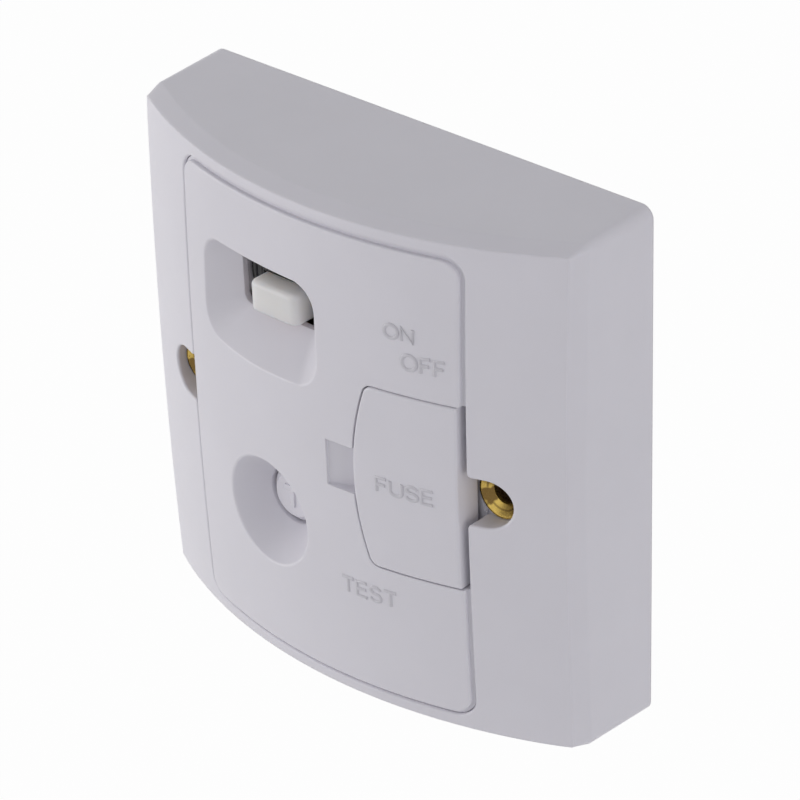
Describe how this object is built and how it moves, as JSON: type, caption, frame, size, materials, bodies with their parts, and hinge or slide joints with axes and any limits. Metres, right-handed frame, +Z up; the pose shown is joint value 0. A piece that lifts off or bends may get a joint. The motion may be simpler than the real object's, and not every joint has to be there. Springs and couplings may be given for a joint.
{
  "type": "switched fused spur",
  "caption": "Square white wall plate with a rocker lever in a recess, a push to test button in a round well, a hinged fuse carrier and two brass lined fixing holes.",
  "frame": {"origin": "middle of the plate in the wall plane, halfway between the two fixing holes", "axes": "+X to the right as seen from the front, +Y into the wall, +Z up"},
  "size_m": [0.086, 0.0432, 0.086],
  "materials": {
    "faceplate_plastic": "semi-gloss white moulding",
    "rear_plastic": "satin white moulding",
    "toggle_plastic": "gloss warm white moulding",
    "off_flag_plastic": "gloss black moulding",
    "on_flag_plastic": "gloss red moulding",
    "inner_plastic": "satin dark moulding",
    "brass": "bright turned brass",
    "steel": "zinc plated steel",
    "spring_steel": "bright drawn wire",
    "copper": "enamelled copper",
    "contact_metal": "silvered copper alloy",
    "fuse_ceramic": "glazed ceramic",
    "fuse_cap_metal": "nickel plated",
    "board_laminate": "green solder mask",
    "component_black": "moulded black",
    "capacitor_can": "sleeved can",
    "varistor_coating": "dipped blue",
    "ferrite": "dark sintered core",
    "conductor_sleeve": "brown sleeve"
  },
  "bodies": {
    "case": {"front_frame": "faceplate_plastic", "centre_panel": "faceplate_plastic", "left_eyelet": "brass", "right_eyelet": "brass", "carrier_hinge_pin": "steel", "fuse_contacts": "brass", "toggle_pivot_pin": "steel", "contact_base": "inner_plastic", "fixed_contacts": "contact_metal", "carriage_spring": "spring_steel", "test_guide": "inner_plastic", "test_spring": "spring_steel", "test_contacts": "contact_metal", "rear_housing": "rear_plastic", "frame_screws": "steel", "panel_screws": "steel", "earth_strap": "brass", "supply_neutral_terminal": "brass", "supply_earth_terminal": "brass", "supply_live_terminal": "brass", "load_neutral_terminal": "brass", "load_earth_terminal": "brass", "load_live_terminal": "brass", "terminal_screws": "steel", "terminal_posts": "copper", "circuit_board": "board_laminate", "solenoid_yoke": "steel", "solenoid_bobbin": "inner_plastic", "solenoid_coil": "copper", "plunger_spring": "spring_steel", "toroid_core": "ferrite", "toroid_winding": "copper", "main_conductors": "conductor_sleeve", "smoothing_capacitor": "capacitor_can", "varistor": "varistor_coating", "control_chip": "component_black", "board_resistors": "component_black"},
    "carrier": {"fuse_carrier": "faceplate_plastic", "fuse_body": "fuse_ceramic", "fuse_end_caps": "fuse_cap_metal"},
    "toggle": {"toggle_lever": "toggle_plastic", "off_flag": "off_flag_plastic", "on_flag": "on_flag_plastic"},
    "carriage": {"contact_carriage": "inner_plastic", "moving_contacts": "contact_metal"},
    "button": {"test_button": "toggle_plastic"},
    "plunger": {"trip_plunger": "steel"}
  },
  "joints": [
    {"name": "fuse_carrier_swing", "type": "hinge", "parent": "case", "child": "carrier", "pos_m": [0.0247, -0.022, 0], "axis": [0, 0, 1], "range_deg": [0, 70]},
    {"name": "toggle_swing", "type": "hinge", "parent": "case", "child": "toggle", "pos_m": [-0.00915, -0.012, 0.02205], "axis": [-1, 0, 0], "range_deg": [0, 22]},
    {"name": "contact_carriage_slide", "type": "slide", "parent": "case", "child": "carriage", "axis": [0, 0, -1], "range_m": [0, 0.0023], "deforming": ["carriage_spring"]},
    {"name": "test_press", "type": "slide", "parent": "case", "child": "button", "axis": [0, 1, 0], "range_m": [0, 0.0015], "stiffness_N_per_m": 400, "deforming": ["test_spring"]},
    {"name": "trip_plunger_slide", "type": "slide", "parent": "case", "child": "plunger", "axis": [0, 0, 1], "range_m": [0, 0.0015], "stiffness_N_per_m": 100, "deforming": ["plunger_spring"]}
  ],
  "couplings": [
    {"joint": "toggle_swing", "follows": "contact_carriage_slide", "rad_per_m": 166.66}
  ]
}
